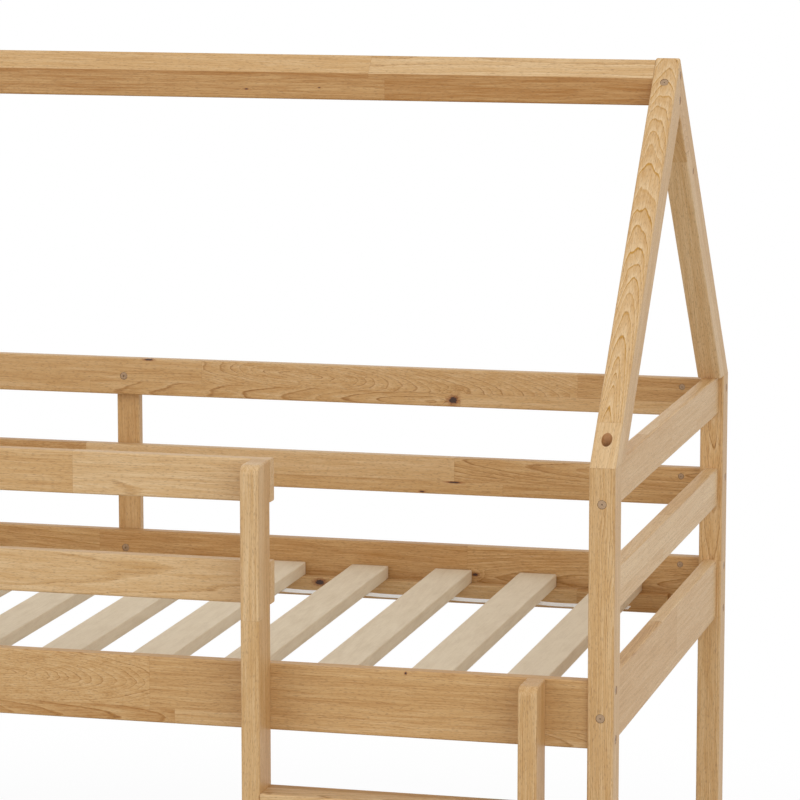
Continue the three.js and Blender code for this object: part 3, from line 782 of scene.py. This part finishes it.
def zinc_steel(tree, colours):
    """Zinc-plated steel, tumbled, finely mottled: a dull sheen, and a warm colour that is a painted
    reflection of the oak round it.
    """
    node = partial(add, tree)
    here = node("TexCoord").outputs["Object"]
    mottle = node("TexNoise", {"Vector": here, "Scale": 1 / (1.5 * MM), "Detail": 3})
    shade = node("MapRange", (mottle, 0.3, 0.7, 0.85, 1.1))
    # The steel's colour is warm brown as a painted reflection of the oak round it
    steel_and_painted_reflection = node("VectorMath", {0: tuple(colours.steel)[:3], "Scale": shade}, operation="SCALE")
    rough = node("MapRange", (mottle, 0.3, 0.7, 0.42, 0.6))
    shader = node("BsdfPrincipled", {"Base Color": steel_and_painted_reflection, "Metallic": 0.8, "Roughness": rough})
    node("OutputMaterial", (shader,))


# Where the boards and their bolts are


def face(box, axis, way):
    """The place on an axis of the face that a box turns one way."""
    return box[1 if way > 0 else 0][axis]


def centre_of(box, axis):
    """The middle of a box on an axis."""
    return (box[0][axis] + box[1][axis]) / 2


def at_corner(piece, side, end):
    """The name of a piece at one corner of the bed."""
    return f"{piece}_{SIDES[side]}_{ENDS[end]}"


def post_box(side, end):
    """The corners of a post."""
    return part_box(at_corner("post", side, end))


def side_boards(side):
    """The boards along one side, which of them are guards, and the ends bolted to a post."""
    for name in ("guard_rail_top", "guard_rail_middle", "upper_side_rail", "lower_side_rail"):
        guard = name.startswith("guard")
        yield f"{name}_{SIDES[side]}", guard, (-1,) if guard and side < 0 else (-1, 1)


def board_heads(node, side, guard):
    """The bolts through a side board to the rear upright or the ladder: along it, and down it."""
    if node.startswith("lower"):
        return []
    if side > 0:
        return [(0.0, UPRIGHT_BOLT_DROP)]
    stiles = ("left",) if guard else ENDS.values()
    drops = GUARD_STILE_DROPS if guard else RAIL_STILE_DROPS
    return [(centre_of(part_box(f"ladder_stile_{where}"), X), drop) for where in stiles for drop in drops]


def gable():
    """The top of the gables, and the slope of the rafters in radians."""
    lo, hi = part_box("rafter_front_right")
    return Vector(((lo.x + hi.x) / 2, hi.y, hi.z)), math.atan2(hi.z - lo.z, hi.y - lo.y)


Fastener = namedtuple("Fastener", "group nodes place way across socket play")


def fasteners(sizes):
    """Each sunk bolt head and barrel nut: its group, the pieces it is sunk in, its place, the way
    that it faces, its width, its socket's width and the play round it."""
    dimple = sizes.socket * NUT_SOCKET
    bolt = (sizes.head_across, sizes.socket, HEAD_PLAY)
    blind = (sizes.head_across, dimple, HEAD_PLAY)
    nut = (sizes.nut_across, dimple, NUT_PLAY)
    for side in SIDES:
        for node, guard, ends in side_boards(side):
            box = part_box(node)
            drop = (GUARD_BOLT_DROP if guard else RAIL_BOLT_INSET) * MM
            heights = [box[1].z - drop] if guard else [box[1].z - drop, box[0].z + drop]
            for end, z in product(ends, heights):
                post = at_corner("post", side, end)
                place = (face(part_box(post), X, end), centre_of(box, Y), z)
                yield Fastener("bolts_of_side_boards", (post,), place, (end, 0, 0), *bolt)
                place = (face(post_box(-1, end), X, -end) - end * NUT_INSET * MM, face(box, Y, -side), z)
                yield Fastener("nuts_of_side_boards", (node,), place, (0, -side, 0), *nut)
    for end, where in ENDS.items():
        for node, side in product((f"end_rail_low_{where}", f"lower_end_rail_low_{where}"), SIDES):
            box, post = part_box(node), at_corner("post", side, end)
            z = box[1].z - END_BOLT_DROP * MM
            place = (centre_of(box, X), face(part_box(post), Y, side), z)
            yield Fastener("bolts_of_end_boards", (post,), place, (0, side, 0), *blind)
            place = (face(box, X, -end), face(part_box(post), Y, -side) - side * NUT_INSET * MM, z)
            yield Fastener("nuts_of_end_boards", (node,), place, (-end, 0, 0), *nut)
    for side, end in product(SIDES, ENDS):
        post = at_corner("post", side, end)
        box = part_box(post)
        place = (centre_of(box, X), face(box, Y, side), box[1].z - RAFTER_NUT_DROP * MM)
        yield Fastener("nuts_of_rafter_bolts", (post,), place, (0, side, 0), *blind)
    for side in SIDES:
        group = "bolts_of_upright" if side > 0 else "bolts_of_ladder"
        for node, guard, _ in side_boards(side):
            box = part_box(node)
            for x, drop in board_heads(node, side, guard):
                place = (x, face(box, Y, -side), box[1].z - drop * MM)
                yield Fastener(group, (node,), place, (0, -side, 0), *bolt)
    top, slope = gable()
    fall, reach = math.sin(slope), math.cos(slope)
    for end, where in ENDS.items():
        rafters = [at_corner("rafter", side, end) for side in SIDES]
        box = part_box(rafters[0])
        for drop in RIDGE_BOLT_DROPS:
            place = (face(box, X, end), top.y, top.z - drop * MM)
            yield Fastener("bolts_of_ridge", rafters, place, (end, 0, 0), *bolt[:2], RAFTER_PLAY)
        run = APEX_BOLT_RUN * MM
        place, way = (centre_of(box, X), top.y - run * reach, top.z - run * fall), (0, -fall, reach)
        apex = (sizes.head_across, sizes.socket * APEX_SOCKET, RAFTER_PLAY)
        yield Fastener("bolts_of_apex", rafters[:1], place, way, *apex)
        run, deep = APEX_NUT_RUN * MM, RAFTER_THICKNESS / 2 * MM
        y, z = top.y + run * reach - deep * fall, top.z - run * fall - deep * reach
        place = (face(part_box(rafters[1]), X, end), y, z)
        yield Fastener("nuts_of_apex", rafters[1:], place, (end, 0, 0), *nut[:2], RAFTER_PLAY)
        stile = f"ladder_stile_{where}"
        for rung in map(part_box, RUNGS):
            place = (face(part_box(stile), X, end), centre_of(rung, Y), centre_of(rung, Z))
            yield Fastener("bolts_of_rungs", (stile,), place, (end, 0, 0), *bolt)


def seats(sizes):
    """The round seats to drill in each piece for its heads and nuts."""
    holes = defaultdict(list)
    for one in fasteners(sizes):
        for node in one.nodes:
            holes[node].append((one.place, one.way, one.across + one.play * MM, SEAT_DEPTH * MM))
    return holes


class PieceOperator:
    """What the operators that make pieces share."""

    bl_options = {"REGISTER", "UNDO"}


class BUNKBED_OT_posts(PieceOperator, bpy.types.Operator):
    """Four posts with sunk seats for their bolts"""

    bl_idname = "bunk_bed.posts"
    bl_label = "Posts"

    def execute(self, context):
        sizes = context.scene.bunk_bed_sizes
        holes = seats(sizes)
        for side, end in product(SIDES, ENDS):
            node = at_corner("post", side, end)
            planed_oak(node, *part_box(node), Z, X, sizes, holes[node])
        return {"FINISHED"}


class BUNKBED_OT_gables(PieceOperator, bpy.types.Operator):
    """Four rafters, mitred at the apex and cut level on the posts"""

    bl_idname = "bunk_bed.gables"
    bl_label = "Gables"

    def execute(self, context):
        sizes = context.scene.bunk_bed_sizes
        holes = seats(sizes)
        top, slope = gable()
        thick, spare = RAFTER_THICKNESS * MM, SAW_SPARE * MM
        for side, end in product(SIDES, ENDS):
            node = at_corner("rafter", side, end)
            box = lo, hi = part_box(node)
            up = Vector((0, -side * math.cos(slope), math.sin(slope)))
            inward = Vector((0, -side * math.sin(slope), -math.cos(slope)))
            summit = Vector((centre_of(box, X), top.y, top.z))
            run = (hi.z - lo.z) / math.sin(slope)
            toe = summit - up * run
            half = (hi.x - lo.x) / 2
            bar = block(Vector((-half, -spare, -thick)), Vector((half, run + spare, 0)))
            rounded(bar, edges_along(bar, Y), sizes.edge_round, 4)
            turn = Matrix((up.cross(-inward).normalized(), up, -inward)).transposed()
            bar.transform(Matrix.Translation(toe) @ turn.to_4x4())
            cut_away(bar, toe, Vector((0, 0, -1)))
            cut_away(bar, summit, Vector((0, -side, 0)))
            bmesh.ops.recalc_face_normals(bar, faces=bar.faces)
            for axis, place in ((Z, toe.z), (Y, summit.y)):
                rounded(bar, edges_at(bar, axis, place), sizes.end_round * RAFTER_END_ROUND, 1)
            over = (TOE_BOLT_SETBACK + TOE_CUTTER_SPARE) * MM * math.tan(slope)
            bolt = (summit.x, toe.y - side * TOE_BOLT_SETBACK * MM, toe.z + over)
            toe_hole = (bolt, (0, 0, 1), sizes.toe_bore, over - TOE_BOLT_SEAT * MM)
            axes = board_axes(up, inward, (summit.x, toe.y, toe.z))
            oak_piece(bar, node, axes, (0, run / MM), thick / MM, [toe_hole] + holes[node])
        return {"FINISHED"}


class BUNKBED_OT_ridge(PieceOperator, bpy.types.Operator):
    """The ridge beam, its top cut to the slope of the rafters"""

    bl_idname = "bunk_bed.ridge"
    bl_label = "Ridge beam"

    def execute(self, context):
        sizes = context.scene.bunk_bed_sizes
        lo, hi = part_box("ridge_beam")
        slope = gable()[1]
        bm = block(lo, hi)
        peak = Vector((0, (lo.y + hi.y) / 2, hi.z))
        for side in SIDES:
            cut_away(bm, peak, Vector((0, side * math.sin(slope), math.cos(slope))))
        bmesh.ops.dissolve_degenerate(bm, dist=NEAR, edges=bm.edges)
        bmesh.ops.recalc_face_normals(bm, faces=bm.faces)
        low = edges_where(edges_along(bm, X), lambda co: co.z < lo.z + NEAR)
        rounded(bm, low, sizes.edge_round, 4)
        high = edges_where(edges_along(bm, X), lambda co: co.z > (lo.z + hi.z) / 2)
        rounded(bm, high, RIDGE_TOP_ROUND * MM, 3)
        straight_oak(bm, "ridge_beam", lo, hi, X, Z)
        return {"FINISHED"}


class BUNKBED_OT_side_boards(PieceOperator, bpy.types.Operator):
    """Guard boards and rails along the front and the rear"""

    bl_idname = "bunk_bed.side_boards"
    bl_label = "Side boards"

    def execute(self, context):
        sizes = context.scene.bunk_bed_sizes
        holes = seats(sizes)
        for side in SIDES:
            for node, _, ends in side_boards(side):
                lo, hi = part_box(node)
                lo.x = face(post_box(-1, -1), X, 1)
                hi.x = face(post_box(-1, 1), X, -1) if 1 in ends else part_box("ladder_stile_left")[1].x
                planed_oak(node, lo, hi, X, Z, sizes, holes[node])
        return {"FINISHED"}


class BUNKBED_OT_end_boards(PieceOperator, bpy.types.Operator):
    """Boards between the posts at both ends"""

    bl_idname = "bunk_bed.end_boards"
    bl_label = "End boards"

    def execute(self, context):
        sizes = context.scene.bunk_bed_sizes
        holes = seats(sizes)
        upper = ("end_rail_top", "end_rail_middle", "end_rail_low")
        lower = ("lower_end_rail_top", "lower_end_rail_low")
        for end, name in product(ENDS, upper + lower):
            node = f"{name}_{ENDS[end]}"
            lo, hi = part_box(node)
            lo.y, hi.y = (face(post_box(side, end), Y, -side) for side in SIDES)
            planed_oak(node, lo, hi, Y, Z, sizes, holes[node])
        return {"FINISHED"}


class BUNKBED_OT_upright(PieceOperator, bpy.types.Operator):
    """The upright behind the rear boards"""

    bl_idname = "bunk_bed.upright"
    bl_label = "Rear upright"

    def execute(self, context):
        planed_oak("rear_upright", *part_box("rear_upright"), Z, X, context.scene.bunk_bed_sizes)
        return {"FINISHED"}


class BUNKBED_OT_ladder(PieceOperator, bpy.types.Operator):
    """Two stiles with rounded tops, and the flat rungs between them"""

    bl_idname = "bunk_bed.ladder"
    bl_label = "Ladder"

    def execute(self, context):
        sizes = context.scene.bunk_bed_sizes
        holes = seats(sizes)
        for where in ENDS.values():
            node = f"ladder_stile_{where}"
            lo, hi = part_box(node)
            bm = block(lo, hi)
            front = edges_where(edges_along(bm, X), lambda co: co.z > hi.z - NEAR and co.y < lo.y + NEAR)
            rounded(bm, front, sizes.stile_round, 8)
            outline = [edge for x in (lo.x, hi.x) for edge in edges_at(bm, X, x)]
            outline = [edge for edge in outline if any(vert.co.z > lo.z + NEAR for vert in edge.verts)]
            rounded(bm, outline, sizes.edge_round, 4)
            rounded(bm, edges_at(bm, Z, lo.z), sizes.end_round, 2)
            straight_oak(bm, node, lo, hi, Z, Y, holes[node])
        for rung in RUNGS:
            lo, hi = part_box(rung)
            lo.x, hi.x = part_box("ladder_stile_left")[1].x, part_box("ladder_stile_right")[0].x
            planed_oak(rung, lo, hi, X, Y, sizes)
        return {"FINISHED"}


class BUNKBED_OT_ledgers(PieceOperator, bpy.types.Operator):
    """Ledgers inside the side rails, which carry the slats"""

    bl_idname = "bunk_bed.ledgers"
    bl_label = "Ledgers"

    def execute(self, context):
        sizes = context.scene.bunk_bed_sizes
        for bunk, where in product(("upper", "lower"), SIDES.values()):
            node = f"{bunk}_ledger_{where}"
            planed_oak(node, *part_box(node), X, Z, sizes, round_share=LEDGER_ROUND)
        return {"FINISHED"}


def slat_nodes():
    """The slats of the upper bunk."""
    return sorted(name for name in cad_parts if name.startswith("upper_slat_") and name[-2:].isdigit())


def bunk_fall():
    """How far the lower bunk's slats lie under the upper bunk's."""
    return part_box("upper_slat_01")[1].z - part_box("lower_slat_roll")[1].z


def slat_mesh(lo, hi, name, sizes):
    """One planed slat with its grain."""
    bm = planed_board(lo, hi, Y, sizes.slat_round, sizes.end_round)
    rng = random.Random(name)
    tone = rng.uniform(-0.5, 0.5)
    figure = rng.choice(("plain", "fine", "broad"))
    rows = [(0, (hi.x - lo.x) / MM, [(lo.y / MM, hi.y / MM, tone, figure)])]
    lay_staves(bm, straight_axes(lo, hi, Y, X), rows, name)
    return bm


class BUNKBED_OT_slats(PieceOperator, bpy.types.Operator):
    """Slats of both bunks"""

    bl_idname = "bunk_bed.slats"
    bl_label = "Slats"

    def execute(self, context):
        sizes = context.scene.bunk_bed_sizes
        wood = material_of("planed_slat", planed_slat)
        drop = Vector((0, 0, bunk_fall()))
        roll = bmesh.new()
        for name in slat_nodes():
            lo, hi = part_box(name)
            finished(slat_mesh(lo, hi, name, sizes), "planed_" + name, wood, (name,))
            low = slat_mesh(lo - drop, hi - drop, "lower " + name, sizes)
            mesh = bpy.data.meshes.new("slat")
            low.to_mesh(mesh)
            low.free()
            roll.from_mesh(mesh)
            bpy.data.meshes.remove(mesh)
        finished(roll, "planed_lower_slats", wood, ("lower_slat_roll",))
        return {"FINISHED"}


class BUNKBED_OT_straps(PieceOperator, bpy.types.Operator):
    """Webbing straps under the slats, hanging a little between them"""

    bl_idname = "bunk_bed.straps"
    bl_label = "Straps"

    def execute(self, context):
        sag = context.scene.bunk_bed_sizes.strap_sag
        slats = [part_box(name) for name in slat_nodes()]
        steps = STRAP_STEPS * (2 * len(slats) - 1)
        cloth = material_of("polyester_webbing", webbing)
        for where in SIDES.values():
            node = f"upper_slat_strap_{where}"
            lo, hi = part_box(node)
            middle, size = (lo + hi) / 2, hi - lo
            for bunk, drop, replaced in (("upper", 0.0, node), ("lower", bunk_fall(), "lower_slat_roll")):
                bm = bmesh.new()
                bmesh.ops.create_grid(bm, x_segments=steps, y_segments=4, size=0.5)
                for vert in bm.verts:
                    x, y = middle.x + vert.co.x * size.x, middle.y + vert.co.y * size.y
                    vert.co = Vector((x, y, hi.z - drop - strap_sag(x, slats, sag)))
                bmesh.ops.solidify(bm, geom=bm.faces[:], thickness=size.z * STRAP_FILL)
                finished(bm, f"webbing_{bunk}_strap_{where}", cloth, (replaced,))
        return {"FINISHED"}


def strap_sag(x, slats, depth):
    """How far a strap hangs under the slats' underside at a place along the bed."""
    for (_, hi), (next_lo, _) in zip(slats, slats[1:]):
        if hi.x < x < next_lo.x:
            share = (x - hi.x) / (next_lo.x - hi.x)
            return depth * 4 * share * (1 - share)
    return 0.0


def screw_head(bm, place, axis, across, thickness, socket):
    """A flat bolt head or nut end, its rim broken, with a hex socket in it."""
    made = rod(bm, place, axis, across, thickness, 36)
    faces = {f for v in made for f in v.link_faces}
    top = max(faces, key=lambda f: f.calc_center_median().dot(axis) - (0 if len(f.verts) > 4 else 1))
    rounded(bm, list(top.edges), HEAD_BREAK * MM, 2)
    ends = [f for f in bm.faces if len(f.verts) > 8 and f.normal.dot(axis) > 0.9]
    ends = [f for f in ends if (f.calc_center_median() - place).length < across / 2]
    top = max(ends, key=lambda f: f.calc_center_median().dot(axis))
    centre = top.calc_center_median()
    # The inset leaves a ring a little wider than the hexagon, and its corners then move on to it
    rim = across / 2 - HEAD_BREAK * MM - socket * 0.6
    bmesh.ops.inset_region(bm, faces=[top], thickness=rim, use_even_offset=True)
    side = (upright_to(axis).to_3x3() @ Vector((1, 0, 0))).normalized()
    up = axis.cross(side)
    for vert in top.verts:
        away = vert.co - centre
        angle = math.atan2(away.dot(up), away.dot(side)) % (math.pi / 3) - math.pi / 6
        vert.co = centre + away.normalized() * socket / 2 / math.cos(angle)
    sunk = bmesh.ops.extrude_face_region(bm, geom=[top])["geom"]
    floor = [v for v in sunk if isinstance(v, bmesh.types.BMVert)]
    bmesh.ops.translate(bm, vec=-axis * thickness * SOCKET_DEPTH, verts=floor)
    bmesh.ops.delete(bm, geom=[top], context="FACES")


class BUNKBED_OT_hardware(PieceOperator, bpy.types.Operator):
    """Bolt heads and barrel nuts in their seats, and the bolts that stand in the rafters' toes"""

    bl_idname = "bunk_bed.hardware"
    bl_label = "Hardware"

    def execute(self, context):
        sizes = context.scene.bunk_bed_sizes
        steel = material_of("zinc_plated_steel", zinc_steel)
        groups = defaultdict(bmesh.new)
        depth = (SEAT_DEPTH - STEEL_SUNK) * MM
        for one in fasteners(sizes):
            axis = Vector(one.way).normalized()
            place = Vector(one.place) - axis * STEEL_SUNK * MM
            screw_head(groups[one.group], place, axis, one.across, depth, one.socket)
        for group, bm in groups.items():
            finished(bm, group, steel)
        upward = Vector((0, 0, 1))
        for side, end in product(SIDES, ENDS):
            node = at_corner("rafter_bolt", side, end)
            box = lo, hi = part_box(node)
            bm = bmesh.new()
            place = Vector((centre_of(box, X), centre_of(box, Y), hi.z))
            screw_head(bm, place, upward, hi.x - lo.x, CAP_HEIGHT * MM, sizes.socket)
            under = place - upward * CAP_HEIGHT * MM
            rod(bm, under, upward, SHANK * MM, under.z - lo.z, 20)
            finished(bm, at_corner("cap_screw", side, end), steel, (node,))
        return {"FINISHED"}


class BUNKBED_OT_studio(bpy.types.Operator):
    """Camera, lamps, world and floor"""

    bl_idname = "bunk_bed.studio"
    bl_label = "Studio"

    def execute(self, context):
        scene = context.scene
        studio = scene.bunk_bed_studio
        scene.view_settings.view_transform = "Standard"
        camera = bpy.data.objects.new("camera", bpy.data.cameras.new("camera"))
        camera.data.lens, camera.data.sensor_width = studio.focal, 36
        camera.data.clip_start, camera.data.clip_end = 0.1, 200
        camera.location, camera.rotation_euler = studio.camera_place, studio.camera_turn
        scene.collection.objects.link(camera)
        scene.camera = camera

        lamps = (
            ("key", (7.0, -6.6, 4.8), 8.0, studio.key),
            ("fill", (-6.6, -7.4, 2.6), 8.0, studio.fill),
            ("top", (0.5, 1.5, 8.0), 5.0, studio.top),
        )
        for name, place, size, power in lamps:
            lamp = bpy.data.objects.new(name, bpy.data.lights.new(name, "AREA"))
            lamp.data.shape, lamp.data.size, lamp.data.energy = "SQUARE", size, power
            lamp.location = place
            aim = Vector((0.2, 0, 1.2)) - lamp.location
            lamp.rotation_euler = aim.to_track_quat("-Z", "Y").to_euler()
            scene.collection.objects.link(lamp)

        scene.world = bpy.data.worlds.new("studio")
        scene.world.use_nodes = True
        tree = scene.world.node_tree
        tree.nodes.clear()
        ambient = add(tree, "Background", ((1, 1, 1, 1), studio.ambient))
        white = add(tree, "Background", ((1, 1, 1, 1), 1))
        mixed = add(tree, "MixShader", (seen_directly(tree), ambient, white))
        add(tree, "OutputWorld", (mixed,))

        bm = bmesh.new()
        bmesh.ops.create_circle(bm, cap_ends=True, segments=96, radius=30)
        mesh = bpy.data.meshes.new("floor")
        bm.to_mesh(mesh)
        bm.free()
        floor = bpy.data.objects.new("floor", mesh)
        floor.location.z = CAD_BOX[0].z
        floor.data.materials.append(material_of("studio_floor", studio_floor))
        scene.collection.objects.link(floor)
        floor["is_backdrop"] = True
        return {"FINISHED"}


def seen_directly(tree):
    """1 for what the camera sees, directly, mirrored or through glass."""
    path = add(tree, "LightPath").outputs
    seen = add(tree, "Math", (path["Is Camera Ray"], path["Is Glossy Ray"]), operation="MAXIMUM")
    return add(tree, "Math", (seen, path["Is Transmission Ray"]), operation="MAXIMUM")


def studio_floor(tree, colours):
    """Painted studio floor: white, matt, and lost in the white behind it past the bed's shadow."""
    node = partial(add, tree)
    reach = node("VectorMath", (node("TexCoord").outputs["Object"],), operation="LENGTH")
    far = node("MapRange", (reach, 1.6, 4.5, 0.55, 1.0), interpolation_type="SMOOTHSTEP")
    seen = seen_directly(tree)
    share = node("Math", (far, seen), operation="MULTIPLY")
    colour = node("Mix", {"Factor": seen, 6: colours.floor_return, 7: colours.floor}, data_type="RGBA")
    paint = node("BsdfDiffuse", (colour,))
    white = node("Emission", ((1, 1, 1, 1), 1))
    node("OutputMaterial", (node("MixShader", (share, paint, white)),))


OPERATORS = (
    BUNKBED_OT_studio,
    BUNKBED_OT_posts,
    BUNKBED_OT_gables,
    BUNKBED_OT_ridge,
    BUNKBED_OT_side_boards,
    BUNKBED_OT_end_boards,
    BUNKBED_OT_upright,
    BUNKBED_OT_ladder,
    BUNKBED_OT_ledgers,
    BUNKBED_OT_slats,
    BUNKBED_OT_straps,
    BUNKBED_OT_hardware,
)


class BUNKBED_PT_panel(bpy.types.Panel):
    """The steps of building the bed"""

    bl_idname = "BUNKBED_PT_panel"
    bl_label = "Bunk Bed"
    bl_space_type = "VIEW_3D"
    bl_region_type = "UI"
    bl_category = "Bunk Bed"

    def draw(self, context):
        for operator in OPERATORS:
            self.layout.operator(operator.bl_idname)
        for name in GROUPS:
            group = getattr(context.scene, name)
            box = self.layout.box()
            for setting in group.bl_rna.properties.keys():
                if setting not in ("rna_type", "name"):
                    box.prop(group, setting)


GROUPS = {
    "bunk_bed_sizes": BunkBedSizes,
    "bunk_bed_colours": BunkBedColours,
    "bunk_bed_studio": BunkBedStudio,
}
CLASSES = (*GROUPS.values(), *OPERATORS, BUNKBED_PT_panel)


def register():
    """Registers the classes and puts the settings on the scene."""
    for one in CLASSES:
        bpy.utils.register_class(one)
    for name, group in GROUPS.items():
        setattr(bpy.types.Scene, name, bpy.props.PointerProperty(type=group))


def unregister():
    """Takes the settings and the classes away again."""
    for name in GROUPS:
        delattr(bpy.types.Scene, name)
    for one in reversed(CLASSES):
        bpy.utils.unregister_class(one)


def main():
    """Builds the bed and its studio, and works out the bounds of the solids and of the pieces."""
    register()
    for operator in OPERATORS:
        group, name = operator.bl_idname.split(".")
        getattr(getattr(bpy.ops, group), name)()
    boxes = {"cad": CAD_BOX, "visual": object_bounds()}
    {name: [list(corner) for corner in box] for name, box in boxes.items()}


if __name__ == "__main__":
    main()
